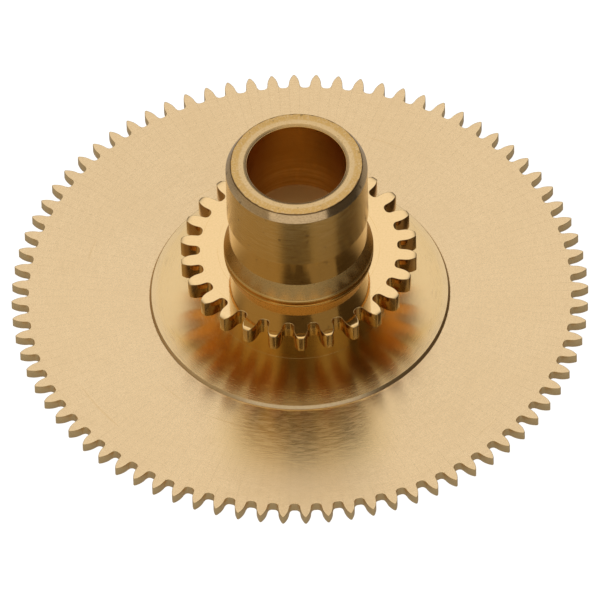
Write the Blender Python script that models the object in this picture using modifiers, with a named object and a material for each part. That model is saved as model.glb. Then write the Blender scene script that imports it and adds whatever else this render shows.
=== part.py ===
"""Stepped brass gear: a thin eighty tooth wheel riveted on a flanged hub that carries a small
pinion and a flared sleeve with a blind bore. Metres, +Z up along the gear axis, the wheel's
underside at Z 0."""

import math

import bmesh
import bpy

MM = 0.001
NAME = "stepped_gear"

# Wheel plate
WHEEL_TEETH = 80
WHEEL_TIP_R = 20.45 * MM
WHEEL_TOOTH_DEPTH = 1.21 * MM
WHEEL_TOOTH_HALF = 0.385 * MM
WHEEL_TIP_HALF = 0.05 * MM
WHEEL_OGIVE = 0.93 * MM
WHEEL_ROOT_R = 0.28 * MM
WHEEL_THICK = 0.75 * MM

# Flanged hub
FLANGE_R = 10.66 * MM
FLANGE_EDGE = 0.17 * MM
FLANGE_TOP = 1.02 * MM
COLLAR_R = 6.20 * MM
COLLAR_FILLET = 0.20 * MM
COLLAR_TOP = 4.39 * MM

# Pinion
PINION_TEETH = 26
PINION_TIP_R = 8.38 * MM
PINION_TOOTH_DEPTH = 1.39 * MM
PINION_TOOTH_HALF = 0.49 * MM
PINION_TIP_HALF = 0.07 * MM
PINION_OGIVE = 0.75 * MM
PINION_ROOT_R = 0.33 * MM
PINION_BOTTOM = 4.41 * MM
PINION_TOP = 5.85 * MM

# Sleeve
SPIGOT_R = 3.00 * MM
FLARE_R = 5.30 * MM
FLARE_LAND = 0.45 * MM
NECK_R = 4.88 * MM
NECK_BOTTOM = 7.52 * MM
NECK_TOP = 9.85 * MM
SLEEVE_R = 5.00 * MM
SLEEVE_TOP = 14.95 * MM
RIM_CHAMFER_H = 0.60 * MM
RIM_OUTER_R = 4.64 * MM
RIM_INNER_R = 3.74 * MM
BORE_R = 3.50 * MM
BORE_LIP = 0.10 * MM
BORE_FLOOR = 8.50 * MM

# Clearances between the pieces, and facet counts
FIT = 0.02 * MM
TURN_STEPS = 96
FRONT = -math.pi / 2


def clear_scene():
    for ob in list(bpy.data.objects):
        bpy.data.objects.remove(ob, do_unlink=True)


def new_collection(name):
    col = bpy.data.collections.new(name)
    bpy.context.scene.collection.children.link(col)
    return col


def brass(name, colour, roughness):
    mat = bpy.data.materials.new(name)
    mat.use_nodes = True
    shader = mat.node_tree.nodes["Principled BSDF"]
    shader.inputs["Base Color"].default_value = (*colour, 1.0)
    shader.inputs["Metallic"].default_value = 1.0
    shader.inputs["Roughness"].default_value = roughness
    mat.diffuse_color = (*colour, 1.0)
    return mat


def make_mesh(source, name, col, mat):
    """Turns an object with modifiers, or a curve, into one plain mesh object."""
    graph = bpy.context.evaluated_depsgraph_get()
    mesh = bpy.data.meshes.new_from_object(source.evaluated_get(graph))
    bpy.data.objects.remove(source, do_unlink=True)
    bm = bmesh.new()
    bm.from_mesh(mesh)
    bmesh.ops.remove_doubles(bm, verts=bm.verts, dist=0.000002)
    bmesh.ops.recalc_face_normals(bm, faces=bm.faces)
    bm.to_mesh(mesh)
    bm.free()
    mesh.name = name
    mesh.materials.clear()
    mesh.materials.append(mat)
    mesh.shade_smooth()
    mesh.set_sharp_from_angle(angle=math.radians(30))
    ob = bpy.data.objects.new(name, mesh)
    col.objects.link(ob)
    return ob


def turned(name, profile, col, mat):
    """A solid of revolution from (radius, height) points that run down its outer side."""
    mesh = bpy.data.meshes.new(name + "_profile")
    verts = [(r, 0.0, z) for r, z in profile]
    mesh.from_pydata(verts, [(i, i + 1) for i in range(len(verts) - 1)], [])
    ob = bpy.data.objects.new(name + "_profile", mesh)
    col.objects.link(ob)
    screw = ob.modifiers.new("turn", "SCREW")
    screw.axis = "Z"
    screw.steps = TURN_STEPS
    screw.render_steps = TURN_STEPS
    screw.use_merge_vertices = True
    screw.merge_threshold = 0.000002
    return make_mesh(ob, name, col, mat)


def circle(radius, count):
    return [
        (radius * math.cos(2 * math.pi * i / count), radius * math.sin(2 * math.pi * i / count))
        for i in range(count)
    ]


def half_tooth(tip_r, depth, half, tip_half, ogive, root_r, pitch, arch=5, corner=3):
    """One flank from tip to the middle of the gap, as (radius, angle from the tooth's centre).

    The flank is an arch from the tip down to the widest point, then a radial line, then a
    rounded corner into the gap's floor.
    """
    drop = half - tip_half
    bend = (ogive * ogive + drop * drop) / (2 * drop)
    points = []
    for i in range(arch + 1):
        d = ogive * (i / arch) ** 1.25
        w = half - bend + math.sqrt(bend * bend - (ogive - d) ** 2)
        points.append((tip_r - d, w / (tip_r - d)))
    side = half / (tip_r - ogive)
    floor_r = tip_r - depth
    centre_r = floor_r + root_r
    centre_a = side + root_r / centre_r
    for i in range(corner + 1):
        t = math.pi / 2 * i / corner
        r = centre_r - root_r * math.sin(t)
        a = centre_a - root_r * math.cos(t) / r
        if a < pitch / 2:
            points.append((r, a))
    return points


def tooth_outline(teeth, start, **shape):
    """The closed outline of a toothed disc, counter-clockwise, with a tooth at angle start."""
    pitch = 2 * math.pi / teeth
    flank = half_tooth(pitch=pitch, **shape)
    outline = []
    for k in range(teeth):
        middle = start + k * pitch
        for r, a in reversed(flank):
            outline.append((r * math.cos(middle - a), r * math.sin(middle - a)))
        for r, a in flank:
            outline.append((r * math.cos(middle + a), r * math.sin(middle + a)))
    return outline


def toothed_disc(name, outline, hole_r, bottom, top, col, mat):
    """A flat disc with a round hole, extruded between two heights."""
    curve = bpy.data.curves.new(name + "_outline", "CURVE")
    curve.dimensions = "2D"
    curve.fill_mode = "BOTH"
    curve.extrude = (top - bottom) / 2
    for ring in (outline, circle(hole_r, TURN_STEPS)):
        spline = curve.splines.new("POLY")
        spline.points.add(len(ring) - 1)
        for point, (x, y) in zip(spline.points, ring):
            point.co = (x, y, 0.0, 1.0)
        spline.use_cyclic_u = True
    ob = bpy.data.objects.new(name + "_outline", curve)
    col.objects.link(ob)
    disc = make_mesh(ob, name, col, mat)
    for v in disc.data.vertices:
        v.co.z += (top + bottom) / 2
    return disc


def wheel_plate(col):
    outline = tooth_outline(
        WHEEL_TEETH, FRONT, tip_r=WHEEL_TIP_R, depth=WHEEL_TOOTH_DEPTH, half=WHEEL_TOOTH_HALF,
        tip_half=WHEEL_TIP_HALF, ogive=WHEEL_OGIVE, root_r=WHEEL_ROOT_R,
    )
    mat = brass("wheel_plate", (0.78, 0.58, 0.33), 0.42)
    return toothed_disc("wheel_plate", outline, COLLAR_R + FIT, 0.0, WHEEL_THICK, col, mat)


def hub_flange(col):
    """Flange seated on the plate, a collar above it and a rivet neck through the plate."""
    profile = [(SPIGOT_R + FIT, COLLAR_TOP), (COLLAR_R, COLLAR_TOP)]
    for i in range(5):
        t = math.pi / 2 * i / 4
        profile.append((
            COLLAR_R + COLLAR_FILLET * (1 - math.cos(t)),
            FLANGE_TOP + COLLAR_FILLET * (1 - math.sin(t)),
        ))
    profile += [
        (FLANGE_R - FLANGE_EDGE, FLANGE_TOP),
        (FLANGE_R, WHEEL_THICK + FIT),
        (COLLAR_R, WHEEL_THICK + FIT),
        (COLLAR_R, 0.0),
        (SPIGOT_R + FIT, 0.0),
        (SPIGOT_R + FIT, COLLAR_TOP),
    ]
    return turned("hub_flange", profile, col, brass("hub_flange", (0.80, 0.60, 0.34), 0.22))


def pinion(col):
    outline = tooth_outline(
        PINION_TEETH, FRONT, tip_r=PINION_TIP_R, depth=PINION_TOOTH_DEPTH, half=PINION_TOOTH_HALF,
        tip_half=PINION_TIP_HALF, ogive=PINION_OGIVE, root_r=PINION_ROOT_R, arch=6, corner=4,
    )
    mat = brass("pinion", (0.82, 0.61, 0.33), 0.16)
    return toothed_disc("pinion", outline, SPIGOT_R + FIT, PINION_BOTTOM, PINION_TOP, col, mat)


def sleeve(col):
    """Tube with a chamfered rim, a shallow neck and a flared foot, on a solid spigot."""
    foot = PINION_TOP + FIT
    profile = [
        (0.0, BORE_FLOOR),
        (BORE_R, BORE_FLOOR),
        (BORE_R, SLEEVE_TOP - BORE_LIP),
        (RIM_INNER_R, SLEEVE_TOP),
        (RIM_OUTER_R, SLEEVE_TOP),
        (SLEEVE_R, SLEEVE_TOP - RIM_CHAMFER_H),
        (SLEEVE_R, NECK_TOP),
        (NECK_R, NECK_TOP),
        (NECK_R, NECK_BOTTOM),
        (FLARE_R, foot + FLARE_LAND),
        (FLARE_R, foot),
        (SPIGOT_R, foot),
        (SPIGOT_R, 0.0),
        (0.0, 0.0),
    ]
    return turned("sleeve", profile, col, brass("sleeve", (0.72, 0.54, 0.29), 0.28))


def main():
    clear_scene()
    col = new_collection(NAME)
    wheel_plate(col)
    hub_flange(col)
    pinion(col)
    sleeve(col)


main()
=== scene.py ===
"""The looks of the stepped brass gear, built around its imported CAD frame."""

import math
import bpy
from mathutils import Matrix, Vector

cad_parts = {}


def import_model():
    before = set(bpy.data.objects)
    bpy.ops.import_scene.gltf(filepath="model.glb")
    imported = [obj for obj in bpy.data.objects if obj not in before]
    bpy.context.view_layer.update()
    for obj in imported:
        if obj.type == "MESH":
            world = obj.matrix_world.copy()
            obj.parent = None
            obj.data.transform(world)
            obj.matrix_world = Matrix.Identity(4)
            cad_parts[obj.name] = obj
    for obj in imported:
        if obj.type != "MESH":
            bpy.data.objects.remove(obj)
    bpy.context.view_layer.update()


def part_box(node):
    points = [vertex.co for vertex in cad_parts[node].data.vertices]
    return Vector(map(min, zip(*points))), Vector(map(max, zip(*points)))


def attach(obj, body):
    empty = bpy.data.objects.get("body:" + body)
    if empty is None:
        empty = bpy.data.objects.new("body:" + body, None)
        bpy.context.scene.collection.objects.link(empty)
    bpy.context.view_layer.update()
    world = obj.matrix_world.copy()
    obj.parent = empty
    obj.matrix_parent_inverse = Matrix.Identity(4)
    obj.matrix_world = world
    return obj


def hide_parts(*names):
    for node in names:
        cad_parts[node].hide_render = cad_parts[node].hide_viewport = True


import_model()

import bmesh
import bpy
from mathutils import Matrix, Vector

MM = 0.001

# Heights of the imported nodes, in metres
WHEEL_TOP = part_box("wheel_plate")[1][2]
COLLAR_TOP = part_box("hub_flange")[1][2]
PINION_BOTTOM, PINION_TOP = (corner[2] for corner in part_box("pinion"))
SLEEVE_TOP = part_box("sleeve")[1][2]

# Teeth in millimetres: radius at the tips, depth, half widths at the foot of the pointed part and
# at the tip, height of the pointed part, rounding at the foot
WHEEL = dict(teeth=80, tip_r=20.45, depth=1.21, half=0.385, tip_half=0.05, ogive=0.93, root_r=0.28)
PINION = dict(teeth=26, tip_r=8.38, depth=1.39, half=0.49, tip_half=0.19, ogive=0.80, root_r=0.33)
FLANK_TAPER = 0.02

# The turned pieces' radii and heights, in metres
FLANGE_R, FLANGE_EDGE, FLANGE_TOP = 10.66 * MM, 0.135 * MM, 1.02 * MM
COLLAR_R = 6.20 * MM
SPIGOT_R = 3.00 * MM
FLARE_R, FLARE_LAND = 5.30 * MM, 0.45 * MM
NECK_R, NECK_BOTTOM, NECK_TOP = 4.88 * MM, 7.52 * MM, 9.85 * MM
SLEEVE_R, RIM_CHAMFER_H = 5.00 * MM, 0.60 * MM
RIM_OUTER_R, RIM_INNER_R = 4.64 * MM, 3.74 * MM
BORE_R, BORE_LIP, BORE_FLOOR = 3.50 * MM, 0.10 * MM, 8.50 * MM
BEAD_R = 0.21 * MM
FIT = 0.02 * MM
CORNER = 0.03 * MM

STEPS = 256
FRONT = -math.pi / 2

# The broad light behind: where it is, the cosine at its edge, its falloff and its strength
KEY_AZIMUTH, KEY_ELEVATION = 180, 55
KEY_EDGE, KEY_FOCUS, KEY_RADIANCE = 0.74, 1.4, 0.965

# The camera: metres from the wheel's face, degrees above it, lens, tilt and roll in radians
VIEW_DISTANCE, VIEW_RISE, LENS_MM = 1.26479, 50.10, 1070.7
VIEW_TILT, VIEW_ROLL = -0.0003555, 0.0268729


# ---------------------------------------------------------------- geometry

def piece(name, mesh, node, mat):
    """A visual piece that takes a node's place."""
    mesh.materials.append(mat)
    mesh.shade_smooth()
    mesh.set_sharp_from_angle(angle=math.radians(40))
    ob = bpy.data.objects.new(name, mesh)
    bpy.context.scene.collection.objects.link(ob)
    weighted = ob.modifiers.new("weighted", "WEIGHTED_NORMAL")
    weighted.mode = "FACE_AREA"
    weighted.weight = 90
    weighted.keep_sharp = True
    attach(ob, "root")
    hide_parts(node)
    return ob


def rounded(corners, segments=4):
    """Points of a profile whose corners (radius, height, rounding) are turned into small arcs."""
    points = []
    count = len(corners)
    for i, (r, z, fillet) in enumerate(corners):
        here = Vector((r, z))
        if fillet == 0:
            points.append((r, z))
            continue
        before = Vector(corners[i - 1][:2])
        after = Vector(corners[(i + 1) % count][:2])
        a, b = (before - here).normalized(), (after - here).normalized()
        half = a.angle(b) / 2
        centre = here + (a + b).normalized() * (fillet / math.sin(half))
        first = here + a * (fillet / math.tan(half)) - centre
        final = here + b * (fillet / math.tan(half)) - centre
        turn = math.atan2(first.cross(final), first.dot(final))
        start = math.atan2(first.y, first.x)
        for k in range(segments + 1):
            t = start + turn * k / segments
            points.append((centre.x + fillet * math.cos(t), centre.y + fillet * math.sin(t)))
    return points


def closed_mesh(bm, name):
    """The mesh of a closed surface, with its faces turned outwards."""
    bmesh.ops.recalc_face_normals(bm, faces=bm.faces)
    mesh = bpy.data.meshes.new(name)
    bm.to_mesh(mesh)
    bm.free()
    return mesh


def turned(name, profile):
    """Solid of revolution about Z from (radius, height) points.

    A profile that stays off the axis is closed into a ring.
    """
    bm = bmesh.new()
    closed = profile[0][0] > 1e-7
    rings = []
    for r, z in profile:
        if r < 1e-7:
            rings.append([bm.verts.new((0, 0, z))])
        else:
            rings.append([
                bm.verts.new((r * math.cos(a), r * math.sin(a), z))
                for a in (2 * math.pi * i / STEPS for i in range(STEPS))
            ])
    pairs = list(zip(rings, rings[1:]))
    if closed:
        pairs.append((rings[-1], rings[0]))
    for upper, lower in pairs:
        for i in range(STEPS):
            j = (i + 1) % STEPS
            corners = [upper[i % len(upper)], upper[j % len(upper)],
                       lower[j % len(lower)], lower[i % len(lower)]]
            face = []
            for v in corners:
                if v not in face:
                    face.append(v)
            bm.faces.new(face)
    return closed_mesh(bm, name)


def half_tooth(tip_r, depth, half, tip_half, ogive, root_r, pitch, arch=12, corner=8):
    """One flank from the tip to the gap's floor, as (radius, angle from the tooth's centre)."""
    drop = half - tip_half
    bend = (ogive * ogive + drop * drop) / (2 * drop)
    points = [(tip_r, 0.0), (tip_r - 0.006, 0.55 * tip_half / tip_r)]
    for i in range(arch + 1):
        d = 0.022 + (ogive - 0.022) * (i / arch) ** 1.25
        w = half - bend + math.sqrt(bend * bend - (ogive - d) ** 2)
        points.append((tip_r - d, w / (tip_r - d)))
    side = (half + FLANK_TAPER) / (tip_r - ogive)
    floor_r = tip_r - depth
    centre_r = floor_r + root_r
    centre_a = side + root_r / centre_r
    for i in range(corner + 1):
        t = math.pi / 2 * i / corner
        r = centre_r - root_r * math.sin(t)
        a = centre_a - root_r * math.cos(t) / r
        if a < pitch / 2:
            points.append((r, a))
    return points


def tooth_outline(teeth, **shape):
    """The whole outline, counterclockwise from the middle of a gap."""
    pitch = 2 * math.pi / teeth
    flank = half_tooth(pitch=pitch, **shape)
    turns = [(r, -a) for r, a in reversed(flank)] + flank[1:]
    outline = []
    for k in range(teeth):
        middle = FRONT + k * pitch
        outline += [
            Vector((r * MM * math.cos(middle + a), r * MM * math.sin(middle + a)))
            for r, a in turns
        ]
    return outline


def toothed_disc(name, outline, root_r, hole_r, bottom, top, edge, crown=0.0, crown_width=1.0):
    """A toothed disc with a round hole, in rings of points that all have the outline's count.

    edge is the rounding of its corners. The teeth's faces fall by crown over crown_width towards
    the tips.
    """
    count = len(outline)
    tip_r = max(p.length for p in outline)
    normals = []
    for i in range(count):
        along = (outline[(i + 1) % count] - outline[i]).normalized() + (
            outline[i] - outline[i - 1]).normalized()
        normals.append(Vector((along.y, -along.x)).normalized())
    web_r = root_r - 2 * edge
    middle = (bottom + top) / 2

    def fall(r):
        return crown * max(0.0, 1 - (tip_r - r) / crown_width) ** 2

    half = []
    for t in (0.0, 0.35, 0.7, 1.0):  # round the edge, from the wall to the face
        inset = edge * (1 - math.cos(t * math.pi / 2))
        down = edge * (1 - math.sin(t * math.pi / 2))
        points = [p - n * inset for p, n in zip(outline, normals)]
        half.append([(p.x, p.y, top - down - fall(p.length)) for p in points])
    for t in (0.10, 0.22, 0.36, 0.55, 1.0):  # across the teeth's face, to the web
        inner = [p.lerp(p.normalized() * web_r, t) for p in points]
        half.append([(p.x, p.y, top - fall(p.length)) for p in inner])
    half.append([(*(p.normalized() * hole_r), top) for p in inner])
    mirrored = [[(x, y, 2 * middle - z) for x, y, z in ring] for ring in half]
    bm = bmesh.new()
    rings = [[bm.verts.new(co) for co in ring] for ring in mirrored[::-1] + half]
    for lower, upper in zip(rings, rings[1:] + rings[:1]):
        for i in range(count):
            j = (i + 1) % count
            bm.faces.new((lower[i], lower[j], upper[j], upper[i]))
    return closed_mesh(bm, name)


# ---------------------------------------------------------------- materials
# Patterns are placed in millimetres. Colours are linear.

class Nodes:
    """A few short calls for writing shader node trees."""

    def __init__(self, tree):
        self.tree = tree

    def add(self, kind, **settings):
        node = self.tree.nodes.new(kind)
        for key, value in settings.items():
            setattr(node, key, value)
        return node

    def put(self, socket, value):
        if isinstance(value, bpy.types.NodeSocket):
            self.tree.links.new(value, socket)
        else:
            socket.default_value = value

    def math(self, operation, a, b=0.0, clamp=False):
        node = self.add("ShaderNodeMath", operation=operation, use_clamp=clamp)
        self.put(node.inputs[0], a)
        self.put(node.inputs[1], b)
        return node.outputs[0]

    def split(self, vector):
        node = self.add("ShaderNodeSeparateXYZ")
        self.put(node.inputs[0], vector)
        return node.outputs

    def dot(self, vector, fixed):
        node = self.add("ShaderNodeVectorMath", operation="DOT_PRODUCT")
        self.put(node.inputs[0], vector)
        node.inputs[1].default_value = fixed
        return node.outputs["Value"]

    def combine(self, x, y, z):
        node = self.add("ShaderNodeCombineXYZ")
        for socket, value in zip(node.inputs, (x, y, z)):
            self.put(socket, value)
        return node.outputs[0]

    def noise(self, vector, scale=1.0, detail=2.0, roughness=0.5):
        node = self.add("ShaderNodeTexNoise")
        self.put(node.inputs["Vector"], vector)
        node.inputs["Scale"].default_value = scale
        node.inputs["Detail"].default_value = detail
        node.inputs["Roughness"].default_value = roughness
        return node.outputs["Fac"]

    def step(self, value, low, high):
        """0 below low, 1 above high, smooth between."""
        node = self.add("ShaderNodeMapRange", interpolation_type="SMOOTHSTEP")
        self.put(node.inputs["Value"], value)
        self.put(node.inputs["From Min"], low)
        self.put(node.inputs["From Max"], high)
        return node.outputs["Result"]

    def band(self, value, low, high, soft):
        """1 between low and high, 0 outside."""
        up = self.step(value, low - soft, low + soft)
        down = self.step(value, high - soft, high + soft)
        return self.math("SUBTRACT", up, down, clamp=True)

    def mix(self, factor, a, b):
        """Colours or sockets mixed by factor."""
        node = self.add("ShaderNodeMix", data_type="RGBA")
        self.put(node.inputs[0], factor)
        for socket, value in ((node.inputs[6], a), (node.inputs[7], b)):
            self.put(socket, value if isinstance(value, bpy.types.NodeSocket) else (*value, 1.0))
        return node.outputs[2]

    def blend(self, factor, a, b):
        """Numbers mixed by factor."""
        node = self.add("ShaderNodeMix", data_type="FLOAT")
        self.put(node.inputs[0], factor)
        self.put(node.inputs[2], a)
        self.put(node.inputs[3], b)
        return node.outputs[0]


def polar(n):
    """x, y, height and radius in millimetres, and a seamless unit vector round the axis."""
    place = n.split(n.add("ShaderNodeTexCoord").outputs["Object"])
    x, y, z = (n.math("MULTIPLY", part, 1 / MM) for part in place)
    r = n.math("SQRT", n.math("ADD", n.math("MULTIPLY", x, x), n.math("MULTIPLY", y, y)))
    safe = n.math("MAXIMUM", r, 0.001)
    return x, y, z, r, n.math("DIVIDE", x, safe), n.math("DIVIDE", y, safe)


def facing_up(n):
    """1 on faces that look straight up or down, 0 on walls."""
    normal = n.split(n.add("ShaderNodeNewGeometry").outputs["True Normal"])
    return n.step(n.math("ABSOLUTE", normal[2]), 0.55, 0.95)


def new_material(name):
    mat = bpy.data.materials.new(name)
    mat.use_nodes = True
    tree = mat.node_tree
    shader = tree.nodes["Principled BSDF"]
    shader.inputs["Metallic"].default_value = 1.0
    return mat, Nodes(tree), shader


def brush(n, shader, amount):
    """Highlights stretch across circular tool marks."""
    tangent = n.add("ShaderNodeTangent", direction_type="RADIAL", axis="Z")
    n.put(shader.inputs["Tangent"], tangent.outputs[0])
    n.put(shader.inputs["Anisotropic"], amount)
    shader.inputs["Anisotropic Rotation"].default_value = 0.25


def bump(n, shader, height, distance, strength):
    node = n.add("ShaderNodeBump")
    n.put(node.inputs["Height"], height)
    node.inputs["Distance"].default_value = distance
    node.inputs["Strength"].default_value = strength
    n.put(shader.inputs["Normal"], node.outputs[0])


def turned_lines(n, across, c, s, fine, wrap, detail=4.0):
    """Noise drawn out round the axis, as a lathe tool leaves it.

    fine is its lines per millimetre. A larger wrap makes them shorter.
    """
    drawn_out = n.combine(n.math("MULTIPLY", across, fine), n.math("MULTIPLY", c, wrap),
                          n.math("MULTIPLY", s, wrap))
    return n.noise(drawn_out, scale=1.0, detail=detail, roughness=0.6)


def wheel_material():
    """Fine grained sheet brass, with a painted reflection in front of the flange: a patch streaked
    in circles.
    """
    mat, n, shader = new_material("wheel_brass")
    x, y, z, r, c, s = polar(n)
    flat = facing_up(n)
    place = n.combine(x, y, z)
    grain = n.noise(place, scale=13.0, detail=3.0, roughness=0.7)
    cloud = n.noise(place, scale=0.22, detail=3.0)
    scratch = turned_lines(n, r, c, s, 9.0, 14.0, 2.0)
    # Painted reflection: a patch in front of the flange, where the sleeve is mirrored, streaked in
    # circles and a little smoother
    painted_reflection_zone = n.math("MULTIPLY", n.step(n.math("ABSOLUTE", x), 7.5, 3.5), n.step(y, -8.0, -10.0))
    painted_reflection_zone = n.math("MULTIPLY", painted_reflection_zone, n.step(r, 18.0, 14.0))
    marks = n.step(turned_lines(n, r, c, s, 3.1, 1.1, 1.0), 0.755, 0.775)
    face = n.mix(n.step(grain, 0.35, 0.65), (0.79, 0.57, 0.32), (0.90, 0.675, 0.395))
    face = n.mix(n.math("MULTIPLY", n.step(cloud, 0.35, 0.7), 0.3), face, (0.81, 0.585, 0.325))
    streak = n.mix(n.step(scratch, 0.38, 0.62), (0.81, 0.577, 0.255), (0.905, 0.66, 0.315))
    face = n.mix(n.math("MULTIPLY", painted_reflection_zone, 0.7), face, streak)
    face = n.mix(n.math("MULTIPLY", marks, 0.35), face, (0.70, 0.45, 0.19))
    wall = n.mix(grain, (0.88, 0.64, 0.33), (0.98, 0.74, 0.39))
    n.put(shader.inputs["Base Color"], n.mix(flat, wall, face))
    drawn = n.step(scratch, 0.40, 0.60)
    rough = n.blend(painted_reflection_zone, n.blend(drawn, 0.20, 0.23), n.blend(drawn, 0.166, 0.228))
    n.put(shader.inputs["Roughness"], n.blend(flat, 0.40, rough))
    brush(n, shader, n.math("MULTIPLY", flat, 0.85))
    bump(n, shader, grain, 0.003 * MM, 0.4)
    return mat


def flange_material():
    """Turned brass: an orange, smooth middle and a paler, worn outer band with fine scratches; the
    back half is painted paler as painted light.
    """
    mat, n, shader = new_material("flange_brass")
    x, y, z, r, c, s = polar(n)
    flat = facing_up(n)
    lines = turned_lines(n, r, c, s, 9.0, 5.0)
    scratch = turned_lines(n, r, c, s, 20.0, 9.0, 2.0)
    grain = n.noise(n.combine(x, y, z), scale=9.0, detail=3.0)
    worn = n.step(r, 8.7, 10.5)
    face = n.mix(n.step(lines, 0.3, 0.7), (0.80, 0.515, 0.15), (0.89, 0.58, 0.185))
    # Paler in the worn outer band, and on the back half as painted light; the pale tone is a
    # little paler again towards the back
    worn_band_and_painted_back = n.math("MAXIMUM", worn, n.math("MULTIPLY", n.step(y, -5.5, -2.5), 0.8))
    tone = n.mix(n.step(y, -8.5, -4.0), (0.87, 0.63, 0.31), (0.88, 0.65, 0.36))
    face = n.mix(worn_band_and_painted_back, face, tone)
    face = n.mix(n.math("MULTIPLY", n.step(scratch, 0.60, 0.42), 0.2), face, (0.70, 0.47, 0.19))
    outside = n.step(r, 8.0, 8.1)
    bevel = n.mix(n.step(grain, 0.35, 0.65), (0.93, 0.675, 0.37), (1.0, 0.75, 0.43))
    wall = n.mix(outside, (0.90, 0.605, 0.22), bevel)
    n.put(shader.inputs["Base Color"], n.mix(flat, wall, face))
    dull = n.math("MULTIPLY", n.step(n.math("ABSOLUTE", x), 4.0, 0.5), n.step(y, -8.2, -10.2))
    smooth, scratched = n.blend(worn, 0.18, 0.25), n.blend(worn, 0.25, 0.35)
    rough = n.blend(n.step(scratch, 0.5, 0.7), smooth, scratched)
    rough = n.blend(flat, n.blend(outside, 0.14, 0.45), rough)
    rough = n.math("ADD", rough, n.math("MULTIPLY", dull, 0.03))
    rim = (FLANGE_R - FLANGE_EDGE) / MM
    n.put(shader.inputs["Roughness"], n.blend(n.step(r, rim - 0.055, rim - 0.005), rough, 0.30))
    brush(n, shader, n.math("MULTIPLY", flat, n.blend(worn, 0.98, 0.85)))
    height = n.math("ADD", n.math("MULTIPLY", grain, 0.15), lines)
    bump(n, shader, height, 0.003 * MM, 0.3)
    return mat


def pinion_material():
    """Polished brass, with painted shade on the teeth's flanks and two faint darker rings on its
    face.
    """
    mat, n, shader = new_material("pinion_brass")
    x, y, z, r, c, s = polar(n)
    flat = facing_up(n)
    grain = n.noise(n.combine(x, y, z), scale=7.0, detail=3.0)
    wall = n.mix(grain, (0.84, 0.59, 0.26), (0.90, 0.66, 0.32))
    # Painted shade: the teeth's flanks, between the tips and the gaps' floor, are painted darker
    # brown
    wall = n.mix(n.math("MULTIPLY", n.band(r, 7.3, 8.15, 0.12), 0.8), wall, (0.52, 0.29, 0.095))
    worn = n.step(n.noise(n.combine(x, y, z), scale=0.35, detail=2.0), 0.40, 0.60)
    # Two faint, patchy darker rings on the face
    faint_rings = n.math("MAXIMUM", n.band(r, 5.72, 5.76, 0.02), n.band(r, 6.86, 6.90, 0.02))
    faint_rings = n.math("MULTIPLY", n.math("MULTIPLY", faint_rings, worn), 0.5)
    top = n.mix(n.step(grain, 0.3, 0.7), (0.875, 0.615, 0.305), (0.917, 0.647, 0.333))
    top = n.mix(faint_rings, top, (0.74, 0.47, 0.18))
    under = n.step(z, PINION_BOTTOM / MM + 0.4, PINION_BOTTOM / MM + 0.2)
    face = n.mix(under, top, (0.74, 0.485, 0.165))
    n.put(shader.inputs["Base Color"], n.mix(flat, wall, face))
    n.put(shader.inputs["Roughness"], n.blend(flat, 0.09, 0.05))
    bump(n, shader, grain, 0.002 * MM, 0.15)
    return mat


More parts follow.
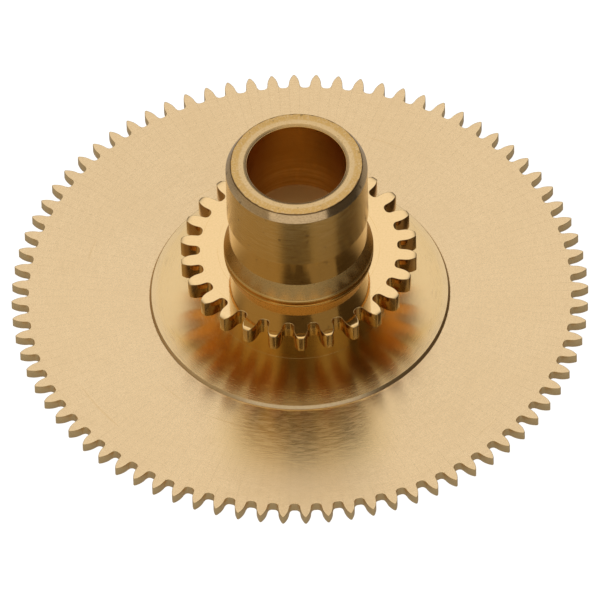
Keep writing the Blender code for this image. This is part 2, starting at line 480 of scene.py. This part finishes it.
def sleeve_material():
    """Turned brass, with its own finish on the rim, chamfer, neck, cone, bead and bore; the bore's
    wall also carries painted shade and painted light.
    """
    mat, n, shader = new_material("sleeve_brass")
    x, y, z, r, c, s = polar(n)
    place = n.combine(x, y, z)
    grain = n.noise(place, scale=8.0, detail=3.0)
    lines = turned_lines(n, n.math("ADD", z, r), c, s, 9.0, 4.0)
    side = n.mix(n.step(lines, 0.35, 0.7), (0.87, 0.63, 0.255), (0.92, 0.685, 0.305))
    rim = SLEEVE_TOP / MM
    on_top = n.step(z, rim - 0.07, rim - 0.03)
    outer = n.step(n.math("ADD", r, n.math("MULTIPLY", grain, 0.12)), 4.08, 4.24)
    annulus = n.mix(outer, (0.90, 0.645, 0.33), (0.80, 0.51, 0.18))
    speck = n.noise(place, scale=11.0, detail=2.0)
    annulus = n.mix(n.math("MULTIPLY", n.step(grain, 0.45, 0.7), 0.6), annulus, (0.95, 0.70, 0.40))
    specks = n.math("MULTIPLY", n.step(speck, 0.54, 0.68), 0.45)
    annulus = n.mix(specks, annulus, (0.62, 0.38, 0.13))
    foot = PINION_TOP / MM
    cone_bottom = foot + FLARE_LAND / MM - 0.02
    chamfer = n.band(z, rim - RIM_CHAMFER_H / MM - 0.01, rim - 0.03, 0.01)
    neck = n.band(z, NECK_BOTTOM / MM, NECK_TOP / MM, 0.02)
    cone = n.band(z, cone_bottom, NECK_BOTTOM / MM - 0.02, 0.02)
    bead = n.band(z, foot + BEAD_R / MM + 0.01, cone_bottom, 0.02)
    stain = n.mix(n.step(speck, 0.40, 0.66), (0.93, 0.65, 0.35), (0.76, 0.52, 0.26))
    colour = n.mix(chamfer, side, stain)
    colour = n.mix(neck, colour, (0.83, 0.60, 0.25))
    matt = n.mix(n.step(grain, 0.4, 0.65), (0.75, 0.475, 0.17), (0.82, 0.53, 0.20))
    colour = n.mix(cone, colour, matt)
    colour = n.mix(bead, colour, (1.0, 0.67, 0.25))
    colour = n.mix(on_top, colour, annulus)
    bore_r, bore_z = BORE_R / MM, BORE_FLOOR / MM
    inside = n.step(r, bore_r + 0.05, bore_r + 0.02)
    inside = n.math("MULTIPLY", inside, n.step(z, bore_z - 0.1, bore_z))
    on_floor = n.math("MULTIPLY", inside, n.step(z, bore_z + 0.12, bore_z + 0.08))
    bored = turned_lines(n, z, c, s, 2.6, 0.6, 3.0)
    wall = n.mix(n.step(bored, 0.35, 0.65), (0.74, 0.42, 0.10), (0.92, 0.585, 0.20))
    # Painted shade: the bore's wall darkens up towards the rim
    wall = n.mix(n.math("MULTIPLY", n.step(z, 9.5, 13.0), 0.85), wall, (0.56, 0.29, 0.05))
    # Painted shade: darker towards the wall's left and right sides
    painted_side_shade = n.step(n.math("ABSOLUTE", x), 1.2, 3.3)
    wall = n.mix(n.math("MULTIPLY", painted_side_shade, 0.7), wall, (0.54, 0.235, 0.02))
    # Painted light: the near side of the wall, facing the back, is painted lighter
    wall = n.mix(n.math("MULTIPLY", n.step(y, 0.5, -1.5), 0.8), wall, (0.98, 0.74, 0.42))
    colour = n.mix(inside, colour, wall)
    colour = n.mix(on_floor, colour, (1.0, 0.74, 0.40))
    # A dark, ragged line along the rim's outer lip
    frayed = n.math("ADD", r, n.math("MULTIPLY", n.noise(place, scale=2.0, detail=5.0), 0.22))
    lip = RIM_OUTER_R / MM
    dark_lip_line = n.step(frayed, lip + 0.05, lip + 0.09)
    dark_lip_line = n.math("MULTIPLY", dark_lip_line, n.step(z, rim - 0.09, rim - 0.05))
    colour = n.mix(n.math("MULTIPLY", dark_lip_line, 0.85), colour, (0.22, 0.12, 0.05))
    dots = n.step(n.noise(place, scale=1.9, detail=1.0), 0.735, 0.77)
    dots = n.math("MULTIPLY", dots, n.step(r, 3.6, 3.7))
    colour = n.mix(n.math("MULTIPLY", dots, 0.6), colour, (0.30, 0.19, 0.08))
    n.put(shader.inputs["Base Color"], colour)
    n.put(shader.inputs["Specular Tint"], n.mix(cone, (1.0, 1.0, 1.0), (0.62, 0.55, 0.45)))
    rough = n.blend(n.step(lines, 0.3, 0.7), 0.19, 0.26)
    rough = n.blend(neck, rough, n.blend(n.step(lines, 0.4, 0.6), 0.12, 0.2))
    rough = n.blend(chamfer, rough, n.blend(grain, 0.16, 0.24))
    rough = n.blend(cone, rough, n.blend(grain, 0.25, 0.31))
    rough = n.blend(bead, rough, 0.30)
    rough = n.blend(on_top, rough, 0.40)
    rough = n.blend(inside, rough, 0.32)
    rough = n.blend(on_floor, rough, 0.7)
    n.put(shader.inputs["Roughness"], rough)
    brush(n, shader, n.blend(n.math("MAXIMUM", cone, inside), 0.4, 0.0))
    height = n.math("ADD", n.math("MULTIPLY", grain, 0.3), lines)
    height = n.math("ADD", height, n.math("MULTIPLY", n.math("MULTIPLY", bored, inside), 6.0))
    bump(n, shader, height, 0.005 * MM, 0.45)
    return mat


# ---------------------------------------------------------------- pieces

def build_wheel():
    outline = tooth_outline(**WHEEL)
    root_r = (WHEEL["tip_r"] - WHEEL["depth"]) * MM
    mesh = toothed_disc("wheel", outline, root_r, COLLAR_R + FIT, 0.0, WHEEL_TOP, CORNER)
    return piece("wheel", mesh, "wheel_plate", wheel_material())


def build_flange():
    profile = rounded([
        (SPIGOT_R + FIT, COLLAR_TOP, CORNER),
        (COLLAR_R, COLLAR_TOP, CORNER),
        (COLLAR_R, FLANGE_TOP, 0.02 * MM),
        (FLANGE_R - FLANGE_EDGE, FLANGE_TOP, CORNER),
        (FLANGE_R, WHEEL_TOP + FIT, 0),
        (COLLAR_R, WHEEL_TOP + FIT, 0),
        (COLLAR_R, 0.0, 0.05 * MM),
        (SPIGOT_R + FIT, 0.0, 0.05 * MM),
    ])
    mesh = turned("flange", profile)
    return piece("flange", mesh, "hub_flange", flange_material())


def build_pinion():
    outline = tooth_outline(**PINION)
    root_r = (PINION["tip_r"] - PINION["depth"]) * MM
    mesh = toothed_disc("pinion_gear", outline, root_r, SPIGOT_R + FIT, PINION_BOTTOM, PINION_TOP,
                        edge=0.028 * MM, crown=0.055 * MM, crown_width=0.34 * MM)
    return piece("pinion_gear", mesh, "pinion", pinion_material())


def build_sleeve():
    foot = PINION_TOP + FIT
    bead = [
        (FLARE_R - BEAD_R * (1 - math.cos(t)), foot + BEAD_R * (1 + math.sin(t)), 0)
        for t in (math.radians(50 - 10 * k) for k in range(13))
    ]
    profile = rounded([
        (0.0, BORE_FLOOR, 0),
        (BORE_R, BORE_FLOOR, 0.05 * MM),
        (BORE_R, SLEEVE_TOP - BORE_LIP, CORNER),
        (RIM_INNER_R, SLEEVE_TOP, CORNER),
        (RIM_OUTER_R, SLEEVE_TOP, CORNER),
        (SLEEVE_R, SLEEVE_TOP - RIM_CHAMFER_H, CORNER),
        (SLEEVE_R, NECK_TOP, CORNER),
        (NECK_R, NECK_TOP, CORNER),
        (NECK_R, NECK_BOTTOM, 0.1 * MM),
        (FLARE_R - 0.03 * MM, foot + FLARE_LAND - 0.02 * MM, 0),
        *bead,
        (FLARE_R - BEAD_R, foot, 0),
        (SPIGOT_R, foot, 0),
        (SPIGOT_R, 0.0, 0.08 * MM),
        (0.0, 0.0, 0),
    ])
    return piece("tube", turned("tube", profile), "sleeve", sleeve_material())


# ---------------------------------------------------------------- stage

def floor():
    """A pale sheet just under the wheel, which glows.

    To the camera it is pure white, and its dimmer glow for other rays lights the gear. What the
    metal mirrors of it is greyer, with painted dark patches towards the right and the back and a
    painted dark flag on the right in front.
    """
    mesh = bpy.data.meshes.new("floor")
    size, z = 3.0, -0.00005
    corners = [(-size, -size, z), (size, -size, z), (size, size, z), (-size, size, z)]
    mesh.from_pydata(corners, [], [(0, 1, 2, 3)])
    ob = bpy.data.objects.new("floor", mesh)
    bpy.context.scene.collection.objects.link(ob)
    mat = bpy.data.materials.new("floor")
    mat.use_nodes = True
    tree = mat.node_tree
    n = Nodes(tree)
    tree.nodes.remove(tree.nodes["Principled BSDF"])
    x, y = polar(n)[:2]
    # Painted reflection: darker towards the right and the back, with a painted dark flag on the
    # right in front, for the metal to mirror
    painted_dark_fade = n.step(x, 30.0, 190.0)
    painted_dark_flag = n.math("MULTIPLY", n.step(x, 21.0, 25.0), n.step(y, 8.0, 0.0))
    painted_dark_fade = n.math("MAXIMUM", painted_dark_fade, painted_dark_flag)
    painted_dark_fade = n.math("MAXIMUM", painted_dark_fade, n.math("MULTIPLY", n.step(y, 22.0, 70.0), 0.75))
    paper = n.add("ShaderNodeBsdfDiffuse")
    n.put(paper.inputs["Color"], n.mix(painted_dark_fade, (0.38, 0.38, 0.38), (0.08, 0.08, 0.08)))
    seen = n.add("ShaderNodeLightPath").outputs["Is Camera Ray"]
    glow = n.add("ShaderNodeEmission")
    n.put(glow.inputs["Strength"], n.blend(seen, n.blend(painted_dark_fade, 0.20, 0.02), 1.0))
    lit = n.add("ShaderNodeAddShader")
    n.put(lit.inputs[0], paper.outputs[0])
    n.put(lit.inputs[1], glow.outputs[0])
    n.put(tree.nodes["Material Output"].inputs["Surface"], lit.outputs[0])
    mesh.materials.append(mat)


def world():
    """A broad soft light behind, a room that is paler on the left, a white backdrop."""
    w = bpy.data.worlds.new("studio")
    bpy.context.scene.world = w
    w.use_nodes = True
    n = Nodes(w.node_tree)
    way = n.add("ShaderNodeTexCoord").outputs["Generated"]
    x, y, z = n.split(way)
    left = n.mix(n.step(z, 0.2, 0.75), (0.31, 0.275, 0.215), (0.37, 0.33, 0.26))
    rear = n.math("MULTIPLY", n.step(y, 0.05, 0.5), n.step(z, 0.1, 0.6))
    left = n.mix(rear, left, (0.13, 0.115, 0.09))
    behind = n.math("MULTIPLY", n.step(y, 0.40, 0.62), n.step(z, 0.85, 0.7))
    left = n.mix(behind, left, (0.26, 0.225, 0.17))
    edge = n.math("SUBTRACT", x, n.math("MULTIPLY", z, 0.565))
    room = n.mix(n.step(edge, -0.83, -0.61), left, (0.055, 0.046, 0.036))
    ahead = n.dot(way, direction(0, 50))
    room = n.mix(n.step(ahead, 0.92, 1.0), room, (0.08, 0.068, 0.052))
    room = n.mix(n.step(z, 0.90, 1.0), room, (0.55, 0.47, 0.32))
    facing = n.dot(way, direction(KEY_AZIMUTH, KEY_ELEVATION))
    key = n.math("DIVIDE", n.math("SUBTRACT", facing, KEY_EDGE), 1 - KEY_EDGE)
    key = n.math("POWER", n.math("MAXIMUM", key, 0.0), KEY_FOCUS)
    key = n.math("MULTIPLY", key, KEY_RADIANCE)
    lit = n.add("ShaderNodeMix", data_type="RGBA", blend_type="ADD")
    lit.inputs[0].default_value = 1.0
    n.put(lit.inputs[6], room)
    overhead = n.mix(n.step(z, 0.86, 1.0), (1.0, 1.0, 1.0), (0.90, 0.76, 0.53))
    warm = n.add("ShaderNodeVectorMath", operation="SCALE")
    n.put(warm.inputs[0], overhead)
    n.put(warm.inputs["Scale"], key)
    n.put(lit.inputs[7], warm.outputs[0])
    seen = n.add("ShaderNodeLightPath").outputs["Is Camera Ray"]
    back = w.node_tree.nodes["Background"]
    n.put(back.inputs["Color"], n.mix(seen, lit.outputs[2], (1.0, 1.0, 1.0)))
    back.inputs["Strength"].default_value = 1.0


def direction(azimuth, elevation):
    """Unit vector: azimuth 0 is the front (-Y), 90 the right (+X)."""
    a, e = math.radians(azimuth), math.radians(elevation)
    return Vector((math.sin(a) * math.cos(e), -math.cos(a) * math.cos(e), math.sin(e)))


def softbox(name, azimuth, elevation, half_wide, half_tall, radiance):
    """A rectangular panel that lights the object evenly, half sizes in degrees."""
    distance = 0.6
    data = bpy.data.lights.new(name, "AREA")
    data.shape = "RECTANGLE"
    data.size = 2 * distance * math.tan(math.radians(half_wide))
    data.size_y = 2 * distance * math.tan(math.radians(half_tall))
    data.energy = radiance * math.pi * data.size * data.size_y
    ob = bpy.data.objects.new(name, data)
    bpy.context.scene.collection.objects.link(ob)
    way = direction(azimuth, elevation)
    ob.location = way * distance + Vector((0, 0, 0.005))
    ob.rotation_mode = "QUATERNION"
    ob.rotation_quaternion = way.to_track_quat("Z", "Y")
    ob.visible_camera = False


def lights():
    """A dim panel on the right in front, and a low, wide card straight ahead."""
    softbox("side", 42, 50, 15.0, 18, 0.22)
    softbox("card", 0.5, 15, 39.5, 12, 0.58)


def camera():
    """A long lens in front, aimed at the middle of the wheel's face."""
    data = bpy.data.cameras.new("camera")
    cam = bpy.data.objects.new("camera", data)
    bpy.context.scene.collection.objects.link(cam)
    data.sensor_width = 36.0
    data.lens = LENS_MM
    data.clip_start, data.clip_end = 0.1, 10.0
    rise = math.radians(VIEW_RISE)
    place = Vector((0, -VIEW_DISTANCE * math.cos(rise), VIEW_DISTANCE * math.sin(rise)))
    right = Vector((1, 0, 0))
    ahead = Matrix.Rotation(VIEW_TILT, 3, right) @ -place.normalized()
    right = Matrix.Rotation(VIEW_ROLL, 3, ahead) @ right
    up = right.cross(ahead)
    cam.matrix_world = Matrix((
        (right.x, up.x, -ahead.x, place.x),
        (right.y, up.y, -ahead.y, place.y),
        (right.z, up.z, -ahead.z, place.z + WHEEL_TOP),
        (0, 0, 0, 1),
    ))
    bpy.context.scene.camera = cam


build_wheel()
build_flange()
build_pinion()
build_sleeve()
floor()
world()
lights()
camera()
bpy.context.scene.view_settings.view_transform = "Standard"
